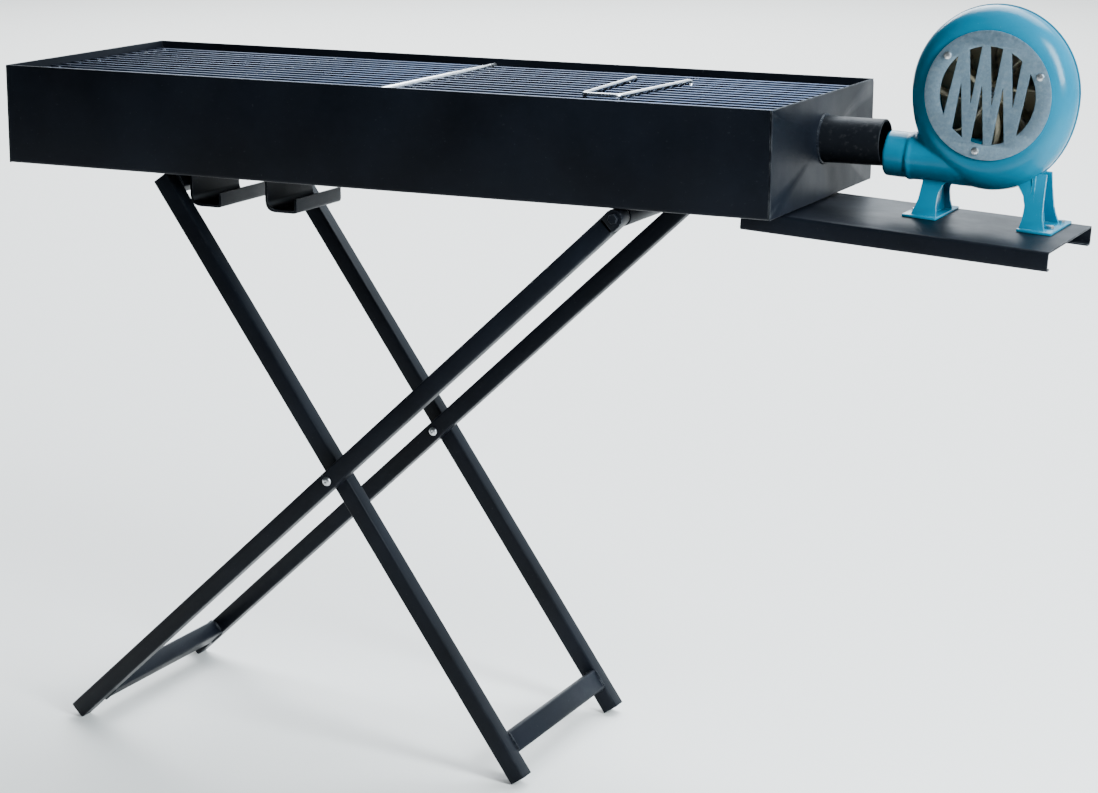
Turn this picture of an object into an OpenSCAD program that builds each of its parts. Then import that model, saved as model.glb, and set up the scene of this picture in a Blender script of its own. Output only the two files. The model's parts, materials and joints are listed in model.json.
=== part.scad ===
// Charcoal trough with grates on a folding X stand, fed with air by a centrifugal blower.
// X runs along the trough towards the blower, Y to the back, Z up. The stand rests on z = 0.

/* [Trough] */
// Length of the trough outside
trough_len = 914; // [880:1:960]
// Width of the trough outside
trough_wid = 320; // [310:1:340]
// Depth of the trough outside
trough_dep = 110; // [106:1:120]
// Height of the rim above the ground
rim_z = 764; // [750:1:780]
// Thickness of the sheet steel
sheet = 2; // [1.5:0.5:2.5]

/* [Grates] */
// Diameter of a grate rod
rod_d = 7; // [6:0.5:8]
// Distance from rod to rod
rod_pitch = 20; // [18:1:21]
// Number of rods in each grate
rod_count = 15; // [11:2:15]
// Depth of the rod tops below the rim
rod_drop = 7; // [5:1:9]
// Diameter of the handle's wire
wire_d = 4.5; // [4:0.5:5]

/* [Air pipe] */
// Outside diameter of the air pipe
pipe_od = 48.3; // [44:0.1:50]
// Height of the pipe's axis above the trough's underside
pipe_up = 63; // [58:1:66]
// Length of pipe outside the end wall
pipe_out = 66; // [50:1:72]

/* [Stand] */
// Width of the square leg tube
tube = 20; // [18:1:22]
// Wall of the leg tube
tube_wall = 1.5; // [1:0.5:2]
// Slope of the frame that is hinged under the right half, in degrees
right_slope = 43; // [42:0.5:44]
// Slope of the other frame, in degrees
left_slope = 55.3; // [54:0.1:56]
// Distance from the hinge to the scissor bolt
hinge_to_bolt = 464; // [450:1:470]
// Distance from the trough's middle to the hinge
hinge_x = 286; // [280:1:300]
// Distance between the two legs of a frame, centre to centre
leg_spacing = 255; // [240:1:260]
// Gap between the two frames, filled by a washer
frame_gap = 2; // [2:0.5:3]

/* [Shelf and blower] */
// Length of shelf past the end wall
shelf_out = 269; // [264:1:280]
// Width of the shelf
shelf_wid = 176; // [170:1:184]
// Droop of the shelf, in degrees
shelf_droop = 3.3; // [0:0.1:4]
// Distance from the end wall to the fan's axis, along the shelf
fan_out = 171; // [168:1:174]
// Height of the fan's axis above the shelf
fan_up = 133; // [130:1:136]
// Radius of the blower housing's round section
section_r = 27; // [25:0.5:28]

/* [Hidden] */

$fn = 64;
eps = 0.02;
overshoot = 1;

// Colours
black = "#15171a";
grate_grey = "#5c6672";
bright_steel = "#d5d8db";
zinc = "#b9bec2";
teal = "#2497b5";
galvanised = "#77899a";
cream = "#d8ccb0";
copper = "#a8683c";

// Trough
trough_bottom = rim_z - trough_dep;
inner_len = trough_len - 2 * sheet;
inner_wid = trough_wid - 2 * sheet;

// The row's origin is under the middle of the whole length.
shelf_end_x = trough_len / 2 + shelf_out * cos(shelf_droop);
mid_x = (shelf_end_x - trough_len / 2) / 2;

// Grates
rod_top = rim_z - rod_drop;
rod_z = rod_top - rod_d / 2;
cross_bar_h = 5.5;
cross_bar_w = 10;
cross_bar_z = rod_z - rod_d / 2 + 1.5 - cross_bar_h;
cross_bar_places = [13, 251, 432];
grate_len = 445;
seam = 14;
rest_gap = 0.1;
ledge_top = cross_bar_z - rest_gap;
ledge_w = 14;
ledge_t = 3;
centre_bar_w = 6;
centre_bar_top = rod_top + 2;

// Handle: two eyes on the rod at handle_y, a bail that lies flat towards the front
handle_y = 4 * rod_pitch;
handle_eyes = [208, 272];
handle_grip = [218, 260];
handle_front_y = -84;
eye_gap = 0.3;
wire_z = rod_top + eye_gap + wire_d / 2 + 0.3;

// Air pipe
pipe_wall = 2;
pipe_z = trough_bottom + pipe_up;
pipe_in_x = -380;
pipe_joint_x = trough_len / 2 - 9;
pipe_hole_d = 10;
pipe_hole_pitch = 50;
pipe_hole_count = 15;
saddle_places = [-330, 200];

// Stand
stand_y = -156;
back_row = leg_spacing;
left_row = tube + frame_gap;
hinge_bar_d = 22;
hinge_z = trough_bottom - hinge_bar_d / 2;
pivot_x = hinge_x - hinge_to_bolt * cos(right_slope);
pivot_z = hinge_z - hinge_to_bolt * sin(right_slope);
top_clearance = 3;
right_down = (pivot_z - tube / 2 * cos(right_slope)) / sin(right_slope);
left_down = (pivot_z - tube / 2 * cos(left_slope)) / sin(left_slope);
left_up = (trough_bottom - top_clearance - tube / 2 * cos(left_slope) - pivot_z) / sin(left_slope);
bolt_d = 6;
running_gap = 0.08;
foot_bar_h = 25;
foot_bar_up = 26;
washer_t = 1.6;
washer_d = 18;
head_d = 10.5;
head_h = 3.5;
nut_d = 11.5;
nut_h = 5;

// Hooks
hook_len = 100;
hook_wid = 40;
hook_t = 3;
hook_drop = 42.5;
hook_lip = 16.5;
hook_bend = 13;
hook_y = -106;
hook_places = [-252, -155];

// Shelf
shelf_drop = 2.9;
shelf_y = -21;
flange_h = 20;
lip_w = 10;
shelf_under = 50;
shelf_screw_x = trough_len / 2 - 15;
shelf_screw_ys = [-60, 40];

// Blower, in the shelf's own frame: u along the shelf, y to the back, w up.
// The housing is a ring of round section whose ring radius grows towards the bottom.
housing_mid = 2;
housing_front = housing_mid - section_r;
housing_back = housing_mid + section_r;
housing_wall = 3;
ring_r = 58.3;
ring_grow_top = 3;
ring_grow_bottom = 13.3;
seam_y = 8;
rim_proud = 1.5;
inlet_r = 49.5;
guard_r = 65;
guard_t = 2;
guard_screw_r = 57;
guard_screw_angles = [25, 141, 263];
outlet_w = 59.3;
outlet_y = 3;
nozzle_r = 23.5;
nozzle_bore = 21;
nozzle_tip = 64.7;
ridge_u = 90;
neck_end = 165;
cover_wall = 3;
cover_screw_angles = [30, 75, 120, 165, 345];
cover_screw_r = 62;
boss_r = 14;
boss_len = 8;
bearing_r = 11;
bearing_len = 7;
shaft_r = 4;
bearing_gap = 0.05;
can_r = 45;
can_wall = 2;
can_len = 70;
can_front = housing_back;
can_back = can_front + can_len;
cap_t = 3;
stator_len = 36;
stator_front = can_front + 16;
air_gap = 0.5;
rotor_r = 24;
foot_places = [113, 229];
foot_y0 = -24;
foot_y1 = 62;
foot_t = 3;
foot_bolt_ys = [2, 46];
foot_bolt_u = 12;
foot_tall = [48, 66];
foot_strips = [[-20, -18], [38, 20]];
foot_left_edge = [[-15, 0], [-13, 10], [-12.5, 22], [-14, 30], [-18, 38], [-26, 46], [-34, 70]];
foot_gap = 0.2;
foot_right_edge = [[4, 70], [5, 42], [6, 28], [7, 14], [12, 0]];

// Everything is drawn with x = 0 at the trough's middle, then moved to the row's origin.
module row() translate([-mid_x, 0, 0]) children();

// The shelf's own frame: origin at the foot of the end wall, tilted down by the droop.
module on_shelf() row()
    translate([trough_len / 2, 0, trough_bottom - shelf_drop]) rotate([0, shelf_droop, 0]) children();

// The blower's frame: origin on the fan's axis
module on_fan() on_shelf() translate([fan_out, 0, fan_up]) children();

// A round bar along Y from y0 to y1
module bar_y(r, y0, y1, fn = 64)
    translate([0, y1, 0]) rotate([90, 0, 0]) cylinder(r = r, h = y1 - y0, $fn = fn);

// A round bar along X from x0 to x1
module bar_x(r, x0, x1) translate([x0, 0, 0]) rotate([0, 90, 0]) cylinder(r = r, h = x1 - x0);

// A flat outline in X and Z, given depth along Y from y0 to y1
module plate_y(y0, y1) translate([0, y1, 0]) rotate([90, 0, 0]) linear_extrude(y1 - y0) children();

module ring_y(r_out, r_in, y0, y1) difference() {
    bar_y(r_out, y0, y1);
    bar_y(r_in, y0 - overshoot, y1 + overshoot);
}

// ---------- Trough ----------

// Bottom, front and back wall, folded from one sheet
module trough_pan() color(black) row() difference() {
    translate([-inner_len / 2, -trough_wid / 2, trough_bottom]) cube([inner_len, trough_wid, trough_dep]);
    translate([-trough_len / 2, -inner_wid / 2, trough_bottom + sheet])
        cube([trough_len, inner_wid, trough_dep]);
    for (y = shelf_screw_ys)
        translate([shelf_screw_x, y, trough_bottom - overshoot]) cylinder(d = 6, h = 10);
}

module end_plate(x0) color(black) row()
    translate([x0, -trough_wid / 2, trough_bottom]) cube([sheet, trough_wid, trough_dep]);

module left_end_plate() end_plate(-trough_len / 2);

module right_end_plate() difference() {
    end_plate(inner_len / 2);
    row() translate([inner_len / 2 - overshoot, 0, pipe_z])
        rotate([0, 90, 0]) cylinder(d = pipe_od, h = 6, $fn = 96);
}

module grate_ledge(side) color(black) row() mirror([0, side, 0])
    translate([-inner_len / 2, -inner_wid / 2, ledge_top - ledge_t]) cube([inner_len, ledge_w, ledge_t]);

module front_grate_ledge() grate_ledge(0);

module back_grate_ledge() grate_ledge(1);

module centre_bar() color(bright_steel) row() {
    bar_len = inner_wid - 4;
    top_r = centre_bar_w / 2;
    translate([-centre_bar_w / 2, -bar_len / 2, ledge_top])
        cube([centre_bar_w, bar_len, centre_bar_top - top_r - ledge_top]);
    translate([0, 0, centre_bar_top - top_r]) bar_y(top_r, -bar_len / 2, bar_len / 2);
}

module grate(x0) color(grate_grey) row() {
    first = -(rod_count - 1) / 2;
    for (i = [0 : rod_count - 1])
        translate([0, (first + i) * rod_pitch, rod_z]) bar_x(rod_d / 2, x0, x0 + grate_len);
    for (place = cross_bar_places)
        translate([x0 + place - cross_bar_w / 2, -inner_wid / 2 + 2, cross_bar_z])
            cube([cross_bar_w, inner_wid - 4, cross_bar_h]);
}

module left_grate() grate(-seam / 2 - grate_len);

module right_grate() grate(seam / 2);

// A straight wire between two points of a level plane
module wire(a, b) {
    span = b - a;
    translate([a[0], a[1], 0]) rotate([0, 0, atan2(span[1], span[0])]) rotate([0, 90, 0])
        cylinder(d = wire_d, h = norm(span), $fn = 32);
}

module grate_handle() color(bright_steel) row() {
    eye_in = rod_d / 2 + eye_gap;
    eye_wid = wire_d + 0.6;
    for (x = handle_eyes) translate([0, handle_y, rod_z]) difference() {
        bar_x(eye_in + eye_wid, x - eye_wid / 2, x + eye_wid / 2);
        bar_x(eye_in, x - wire_d, x + wire_d);
    }
    translate([0, 0, wire_z]) {
        for (i = [0, 1]) {
            wire([handle_eyes[i], handle_y], [handle_grip[i], handle_front_y]);
            translate([handle_grip[i], handle_front_y, 0])
                cylinder(d = wire_d + 0.8, h = wire_d + 0.6, center = true, $fn = 32);
        }
        wire([handle_grip[0], handle_front_y], [handle_grip[1], handle_front_y]);
    }
}

// The pipe that takes the blower's air through the right end plate
module air_pipe() color(black) row() translate([0, 0, pipe_z]) difference() {
    bar_x(pipe_od / 2, pipe_joint_x, trough_len / 2 + pipe_out);
    bar_x(pipe_od / 2 - pipe_wall, pipe_joint_x - overshoot, trough_len / 2 + pipe_out + overshoot);
}

// Its perforated length inside the trough
module burner_pipe() color(black) row() translate([0, 0, pipe_z]) difference() {
    bar_x(pipe_od / 2, pipe_in_x, pipe_joint_x);
    bar_x(pipe_od / 2 - pipe_wall, pipe_in_x - overshoot, pipe_joint_x + overshoot);
    for (i = [0 : pipe_hole_count - 1])
        translate([pipe_in_x + (i + 1) * pipe_hole_pitch, 0, 0])
            bar_y(pipe_hole_d / 2, -pipe_od, pipe_od, 24);
}

module pipe_end_cap() color(black) row() translate([0, 0, pipe_z])
    bar_x(pipe_od / 2, pipe_in_x - 4, pipe_in_x);

module pipe_saddles() color(black) row() for (x = saddle_places) difference() {
    translate([x, -18, trough_bottom + sheet]) cube([4, 36, pipe_up - 14]);
    translate([0, 0, pipe_z]) bar_x(pipe_od / 2, x - overshoot, x + 6);
}

// A strap bent to a J: web under the trough, round bend, short lip on the right
module hook(x) color(black) row() translate([x, 0, trough_bottom]) plate_y(hook_y, hook_y + hook_len) {
    bend_c = hook_bend - hook_drop;
    translate([0, bend_c]) square([hook_t, hook_drop - hook_bend]);
    translate([hook_bend - eps, -hook_drop]) square([hook_wid - hook_bend + eps, hook_t]);
    translate([hook_wid - hook_t, -hook_drop]) square([hook_t, hook_lip]);
    intersection() {
        translate([hook_bend, bend_c]) difference() {
            circle(hook_bend);
            circle(hook_bend - hook_t);
        }
        translate([0, -hook_drop]) square(hook_bend);
    }
}

module left_hook() hook(hook_places[0]);

module right_hook() hook(hook_places[1]);

// ---------- Stand ----------

module at_hinge() row() translate([hinge_x, 0, hinge_z]) children();

// Frames: origin at the scissor bolt, x up along the leg
module right_frame_axes() row() translate([pivot_x, 0, pivot_z]) rotate([0, -right_slope, 0]) children();

module left_frame_axes() row() translate([pivot_x, 0, pivot_z]) rotate([0, left_slope - 180, 0]) children();

module square_tube(x0, x1, y0) difference() {
    translate([x0, y0, -tube / 2]) cube([x1 - x0, tube, tube]);
    translate([x0 - overshoot, y0 + tube_wall, tube_wall - tube / 2])
        cube([x1 - x0 + 2 * overshoot, tube - 2 * tube_wall, tube - 2 * tube_wall]);
}

module right_leg(y0) color(black) right_frame_axes() difference() {
    union() {
        square_tube(-right_down, hinge_to_bolt - tube / 2, y0);
        translate([hinge_to_bolt - tube / 2, y0, -tube / 2]) cube([tube / 2, tube, tube]);
        translate([hinge_to_bolt, 0, 0]) bar_y(tube / 2, y0, y0 + tube);
    }
    for (x = [0, hinge_to_bolt])
        translate([x, 0, 0]) bar_y(bolt_d / 2 + running_gap, y0 - overshoot, y0 + tube + overshoot);
}

module left_leg(y0) color(black) left_frame_axes() difference() {
    square_tube(-left_down, left_up, y0);
    bar_y(bolt_d / 2 + running_gap, y0 - overshoot, y0 + tube + overshoot);
}

module right_front_leg() right_leg(stand_y);

module right_back_leg() right_leg(stand_y + back_row);

module left_front_leg() left_leg(stand_y + left_row);

module left_back_leg() left_leg(stand_y + left_row + back_row);

// Bars between the two legs of a frame, which leave the tube's own thickness between them
module cross_tube(x0, height, y_front) color(black) difference() {
    translate([x0, y_front + tube, -tube / 2]) cube([height, back_row - tube, tube]);
    translate([x0 + tube_wall, y_front + tube - overshoot, tube_wall - tube / 2])
        cube([height - 2 * tube_wall, back_row - tube + 2 * overshoot, tube - 2 * tube_wall]);
}

module right_foot_bar() right_frame_axes() cross_tube(foot_bar_up - right_down, foot_bar_h, stand_y);

module left_foot_bar() left_frame_axes()
    cross_tube(foot_bar_up - left_down, foot_bar_h, stand_y + left_row);

module left_top_bar() left_frame_axes() cross_tube(left_up - tube, tube, stand_y + left_row);

module hinge_bar() color(black) at_hinge() difference() {
    bar_y(hinge_bar_d / 2, stand_y + tube + frame_gap, stand_y + back_row - frame_gap);
    for (y = [stand_y + tube, stand_y + back_row - 30])
        bar_y(bolt_d / 2, y - overshoot, y + 30 + overshoot);
}

module hinge_bolts() color(zinc) at_hinge() {
    bar_y(bolt_d / 2, stand_y - 1, stand_y + tube + 28);
    bar_y(nut_d / 2, stand_y - head_h, stand_y - 0.2, 6);
    bar_y(bolt_d / 2, stand_y + back_row - 28, stand_y + back_row + tube + 1);
    bar_y(nut_d / 2, stand_y + back_row + tube + 0.2, stand_y + back_row + tube + head_h, 6);
}

module hinge_washers() color(zinc) at_hinge() {
    for (y = [stand_y + tube, stand_y + back_row - frame_gap])
        ring_y(washer_d / 2, bolt_d / 2, y + 0.2, y + 0.2 + washer_t);
}

module scissor_bolts() color(zinc) right_frame_axes() for (row_y = [0, back_row])
    translate([0, stand_y + row_y, 0]) {
        bar_y(bolt_d / 2, -eps, 2 * tube + frame_gap + 7);
        difference() {
            bar_y(head_d / 2, -head_h, 0);
            bar_y(head_d / 4.4, -head_h - overshoot, 2.2 - head_h, 6);
        }
    }

module scissor_washers() color(zinc) right_frame_axes() for (row_y = [0, back_row])
    translate([0, stand_y + row_y + tube, 0]) ring_y(washer_d / 2, bolt_d / 2, 0.2, 0.2 + washer_t);

module scissor_nuts() color(zinc) right_frame_axes() for (row_y = [0, back_row])
    translate([0, stand_y + row_y + 2 * tube + frame_gap, 0]) difference() {
        bar_y(nut_d / 2, 0.3, nut_h + 0.3, 6);
        bar_y(bolt_d / 2, -overshoot, 8);
    }

// ---------- Shelf ----------

module blower_shelf() color(black) on_shelf() {
    y0 = shelf_y - shelf_wid / 2;
    whole = shelf_under + shelf_out;
    difference() {
        translate([-shelf_under, y0, -sheet]) cube([whole, shelf_wid, sheet]);
        for (y = shelf_screw_ys) translate([-15, y, -5]) cylinder(d = 7, h = 10);
        at_foot_bolts() translate([0, 0, -5]) cylinder(d = 5, h = 10);
    }
    for (side = [0, 1]) {
        wall_y = y0 + side * (shelf_wid - sheet);
        lip_y = y0 + side * (shelf_wid - lip_w);
        translate([-shelf_under, wall_y, -flange_h]) cube([whole, sheet, flange_h - eps]);
        translate([-shelf_under, lip_y, -flange_h]) cube([whole, lip_w, sheet]);
    }
}

module shelf_screws() color(zinc) row() for (y = shelf_screw_ys) {
    head_top = trough_bottom - 4.8;
    translate([shelf_screw_x, y, head_top - eps]) cylinder(d = 6, h = 12);
    translate([shelf_screw_x, y, head_top - 4]) cylinder(d = 11, h = 4, $fn = 6);
}

module shelf_nuts() color(zinc) row() for (y = shelf_screw_ys)
    translate([shelf_screw_x, y, trough_bottom + sheet]) difference() {
        cylinder(d = 11, h = 5, $fn = 6);
        translate([0, 0, -overshoot]) cylinder(d = 6, h = 8);
    }

// ---------- Blower ----------

// Radius of the ring through the middles of the round sections, at an angle seen from the front
function ring_at(a) = ring_r + (sin(a) > 0 ? ring_grow_top : ring_grow_bottom) * pow(sin(a), 2);

// Outline of the housing, this much outside the ring
function ring_points(reach) =
    [for (a = [0 : 5 : 355]) [(ring_at(a) + reach) * cos(a), (ring_at(a) + reach) * sin(a)]];

// The closed, rounded solid inside a section radius, between two depths
module ring_solid(r, y0, y1, steps = 10) {
    a0 = acos((housing_mid - y0) / r);
    a1 = acos((housing_mid - y1) / r);
    hull() for (i = [0 : steps]) let (a = a0 + (a1 - a0) * i / steps, y = housing_mid - r * cos(a))
        plate_y(max(y0, y - eps / 2), min(y1, y + eps / 2)) polygon(ring_points(r * sin(a)));
}

module neck(r, u0, u1) translate([0, outlet_y, outlet_w - fan_up]) bar_x(r, u0 - fan_out, u1 - fan_out);

// The neck's share in front of the seam (0) or behind it (1)
module half_neck(r, u0, u1, back) translate([u0 - fan_out, outlet_y, outlet_w - fan_up])
    rotate([90, 0, 90]) linear_extrude(u1 - u0) intersection() {
        circle(r);
        translate([seam_y - outlet_y - (1 - back) * 100, -50]) square(100);
    }

module blower_housing() color(teal) on_fan() difference() {
    union() {
        ring_solid(section_r, housing_front, seam_y);
        half_neck(nozzle_r, nozzle_tip, neck_end, 0);
        half_neck(nozzle_r + 1.5, ridge_u, ridge_u + 4, 0);
    }
    ring_solid(section_r - housing_wall, housing_front + housing_wall, seam_y + 1);
    bar_y(inlet_r, housing_front - overshoot, housing_front + 12, 96);
    neck(nozzle_bore, nozzle_tip - overshoot, neck_end);
    for (a = guard_screw_angles) rotate([0, -a, 0]) translate([guard_screw_r, 0, 0])
        bar_y(2, housing_front - overshoot, housing_front + 10, 24);
}

// The back half, with a thin rim at the seam and a boss for the bearing
module back_cover() color(teal) on_fan() difference() {
    union() {
        ring_solid(section_r, seam_y, housing_back);
        half_neck(nozzle_r, nozzle_tip, neck_end, 1);
        half_neck(nozzle_r + 1.5, ridge_u, ridge_u + 4, 1);
        plate_y(seam_y, seam_y + 4) polygon(ring_points(section_r + rim_proud));
        bar_y(boss_r, can_front - overshoot, can_front + boss_len);
    }
    ring_solid(section_r - cover_wall, seam_y - 1, housing_back - cover_wall);
    neck(nozzle_bore, nozzle_tip - overshoot, neck_end);
    bar_y(bearing_r, can_front, can_front + boss_len + overshoot);
    bar_y(shaft_r + 1.5, can_front - 10, can_front + overshoot);
    for (a = cover_screw_angles) rotate([0, -a, 0]) translate([cover_screw_r, 0, 0])
        bar_y(2, can_front - 10, can_front + overshoot, 24);
}

module cover_screws() color(zinc) on_fan() for (a = cover_screw_angles)
    rotate([0, -a, 0]) translate([cover_screw_r, 0, 0]) {
        bar_y(2, can_front - 6, can_front + 1, 24);
        bar_y(3.5, can_front, can_front + 3, 24);
    }

// One slot of the guard's zigzag: a wedge from its point to the rim, up (1) or down (-1)
module guard_slot(x, up) polygon([[x, -9 * up], [x - 7.5, 54 * up], [x + 7.5, 54 * up]]);

module inlet_guard() color(galvanised) on_fan()
    plate_y(housing_front - guard_t, housing_front) difference() {
        circle(guard_r, $fn = 96);
        intersection() {
            circle(inlet_r, $fn = 96);
            union() {
                for (i = [0 : 2]) {
                    guard_slot(-16.5 + 21.6 * i, 1);
                    guard_slot(-28 + 21.6 * i, -1);
                }
                polygon([[-30, 60], [-45, -45], [-60, -45], [-60, 60]]);
                polygon([[45, 45], [60, 45], [60, -60], [29, -60]]);
            }
        }
        for (a = guard_screw_angles) rotate(a) translate([guard_screw_r, 0]) circle(2, $fn = 24);
    }

module guard_screws() color(zinc) on_fan() for (a = guard_screw_angles)
    rotate([0, -a, 0]) translate([guard_screw_r, 0, 0]) {
        bar_y(2, housing_front - guard_t - eps, housing_front + 8, 24);
        bar_y(4, housing_front - guard_t - 2.5, housing_front - guard_t, 24);
    }

module impeller() color(cream) on_fan() {
    disc_y = housing_back - 10;
    blades = 8;
    difference() {
        union() {
            bar_y(62, disc_y, disc_y + 2);
            bar_y(13, disc_y - 24, disc_y + 2);
            for (i = [0 : blades - 1]) rotate([0, i * 360 / blades + 17, 0])
                translate([10, disc_y - 34, -1]) cube([51, 34 + eps, 2]);
        }
        bar_y(shaft_r, disc_y - 40, disc_y + 10);
    }
}

module impeller_nut() color(zinc) on_fan() difference() {
    bar_y(7, housing_back - 40, housing_back - 34, 6);
    bar_y(shaft_r, housing_back - 42, housing_back - 30);
}

module motor_shaft() color(bright_steel) on_fan() bar_y(shaft_r, housing_back - 42, can_back - 1);

module motor_rotor() color(zinc) on_fan() ring_y(rotor_r, shaft_r, stator_front, stator_front + stator_len);

module motor_stator() color(copper) on_fan()
    ring_y(can_r - can_wall, rotor_r + air_gap, stator_front, stator_front + stator_len);

module bearing(y0) color(bright_steel) on_fan()
    ring_y(bearing_r, shaft_r + bearing_gap, y0, y0 + bearing_len);

module front_bearing() bearing(can_front);

module rear_bearing() bearing(can_back - bearing_len - 1);

module motor_can() color(black) on_fan() difference() {
    ring_y(can_r, can_r - can_wall, can_front, can_back);
    translate([0, can_back - 14, -can_r - 5]) cylinder(r = 5, h = 12);
}

module motor_end_cap() color(black) on_fan() difference() {
    union() {
        bar_y(can_r, can_back, can_back + cap_t);
        bar_y(boss_r, can_back - boss_len, can_back + eps);
    }
    bar_y(bearing_r, can_back - boss_len - overshoot, can_back - 1);
    for (a = [45 : 90 : 315]) rotate([0, a, 0]) translate([can_r - 8, 0, 0])
        bar_y(2, can_back - overshoot, can_back + cap_t + overshoot, 24);
}

module end_cap_screws() color(zinc) on_fan() for (a = [45 : 90 : 315])
    rotate([0, a, 0]) translate([can_r - 8, 0, 0]) {
        bar_y(2, can_back - 6, can_back + cap_t + eps, 24);
        bar_y(4, can_back + cap_t, can_back + cap_t + 2.5, 24);
    }

module cable_gland() color(black) on_fan() translate([0, can_back - 14, 0]) difference() {
    union() {
        translate([0, 0, -can_r - 16]) cylinder(r = 7, h = 16, $fn = 48);
        translate([0, 0, -can_r - 5]) cylinder(r = 5, h = 6.5, $fn = 48);
    }
    translate([0, 0, -can_r - 17]) cylinder(r = 3.2, h = 24, $fn = 48);
}

// Places of the bolts that hold the feet, on the shelf's top
module at_foot_bolts() for (i = [0, 1], y = foot_bolt_ys)
    translate([foot_places[i] + (2 * i - 1) * foot_bolt_u, y, 0]) children();

// A foot leaning outwards as it goes down: base plate, front and rear strips that lean together, and a web
module foot_shape(tall) {
    translate([-16, foot_y0, 0]) cube([36, foot_y1 - foot_y0, foot_t]);
    intersection() {
        translate([-40, -60, foot_t - eps]) cube([80, 120, tall]);
        union() {
            for (strip = foot_strips) translate([0, strip[0], 0]) rotate([strip[1], 0, 0])
                plate_y(0, foot_t) polygon(concat(foot_left_edge, foot_right_edge));
            translate([-6, 0, 0]) rotate([90, 0, 90]) linear_extrude(foot_t)
                polygon([[-18, 0], [40, 0], [12, 74], [6, 74]]);
        }
    }
}

module blower_foot(i) color(teal) on_shelf() difference() {
    translate([foot_places[i], 0, 0]) mirror([1 - i, 0, 0]) foot_shape(foot_tall[i]);
    translate([fan_out, 0, fan_up]) {
        ring_solid(section_r + foot_gap, housing_front - foot_gap, housing_back + foot_gap, 14);
        neck(nozzle_r + foot_gap, nozzle_tip, neck_end);
        plate_y(seam_y - foot_gap, seam_y + 4 + foot_gap)
            polygon(ring_points(section_r + rim_proud + foot_gap));
        bar_y(80, -60, 60);
    }
    at_foot_bolts() translate([0, 0, -5]) cylinder(d = 5, h = 12);
}

module left_blower_foot() blower_foot(0);

module right_blower_foot() blower_foot(1);

module foot_bolts() color(zinc) on_shelf() at_foot_bolts() {
    translate([0, 0, -8]) cylinder(d = 5, h = 8 + foot_t + eps);
    translate([0, 0, foot_t]) cylinder(d = 9, h = 3, $fn = 6);
}

module foot_nuts() color(zinc) on_shelf() at_foot_bolts() translate([0, 0, -6]) difference() {
    cylinder(d = 9, h = 4, $fn = 6);
    translate([0, 0, -overshoot]) cylinder(d = 5, h = 6);
}

trough_pan();
left_end_plate();
right_end_plate();
front_grate_ledge();
back_grate_ledge();
centre_bar();
left_grate();
right_grate();
grate_handle();
air_pipe();
burner_pipe();
pipe_end_cap();
pipe_saddles();
left_hook();
right_hook();
hinge_bar();
hinge_bolts();
hinge_washers();
right_front_leg();
right_back_leg();
right_foot_bar();
left_front_leg();
left_back_leg();
left_top_bar();
left_foot_bar();
scissor_bolts();
scissor_washers();
scissor_nuts();
blower_shelf();
shelf_screws();
shelf_nuts();
left_blower_foot();
right_blower_foot();
foot_bolts();
foot_nuts();
blower_housing();
back_cover();
cover_screws();
inlet_guard();
guard_screws();
impeller();
impeller_nut();
motor_shaft();
motor_rotor();
motor_stator();
front_bearing();
rear_bearing();
motor_can();
motor_end_cap();
end_cap_screws();
cable_gland();
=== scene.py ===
"""The looks of a charcoal trough on a folding stand with an air blower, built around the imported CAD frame."""

import json
import math

import bmesh
import bpy
from mathutils import Matrix, Vector, noise


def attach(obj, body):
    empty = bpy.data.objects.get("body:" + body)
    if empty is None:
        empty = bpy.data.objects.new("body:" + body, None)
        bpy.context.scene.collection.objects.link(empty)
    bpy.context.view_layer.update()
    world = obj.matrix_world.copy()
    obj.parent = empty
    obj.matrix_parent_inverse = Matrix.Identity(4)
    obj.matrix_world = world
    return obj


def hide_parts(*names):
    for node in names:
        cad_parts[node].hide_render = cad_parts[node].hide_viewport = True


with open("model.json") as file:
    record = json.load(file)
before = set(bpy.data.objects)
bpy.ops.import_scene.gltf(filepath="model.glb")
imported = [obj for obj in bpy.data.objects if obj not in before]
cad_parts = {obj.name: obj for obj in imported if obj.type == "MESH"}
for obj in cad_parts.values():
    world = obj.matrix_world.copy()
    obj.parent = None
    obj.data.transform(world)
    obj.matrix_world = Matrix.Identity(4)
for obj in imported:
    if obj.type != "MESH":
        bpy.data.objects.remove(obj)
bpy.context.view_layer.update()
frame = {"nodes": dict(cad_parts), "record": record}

# ---------- Sizes, in millimetres from the trough's middle, as in the CAD ----------

DROOP = math.radians(3.3)
SHELF_OUT = 269
SHELF_DROP = 2.9
SHELF_UNDER = 50
SHELF_Y = (-109, 67)
MID_X = SHELF_OUT * math.cos(DROOP) / 2

TROUGH_LEN = 914
TROUGH_WID = 320
TROUGH_DEP = 110
TROUGH_BOTTOM = 654
RIM_Z = TROUGH_BOTTOM + TROUGH_DEP
SHEET = 2

ROD_R = 3.5
ROD_PITCH = 20
ROD_COUNT = 15
ROD_Z = 753.5
GRATE_LEN = 445
GRATE_SEAM = 14
CROSS_BARS = (13, 251, 432)
CROSS_BAR_W = 10
CROSS_BAR_Z = (746, 751.5)
TACK_OFF = 3.1
TACK_Z = 755.2
TACK_HALF = 2.2
TACK_R = 1.1
CENTRE_BAR_W = 6
CENTRE_BAR_Z = (745.9, 759)
GRATE_REACH = TROUGH_WID / 2 - SHEET - 2

WIRE_R = 2.25
EYES = (208, 272)
GRIP = (218, 260)
GRIP_Y = -84
EYE_Y = 80
EYE_R = ROD_R + 0.3 + WIRE_R
EYE_COIL = 4.6

PIPE_Z = 717
PIPE_R = 24.15
PIPE_WALL = 2
PIPE_X = (448, 523)

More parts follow.
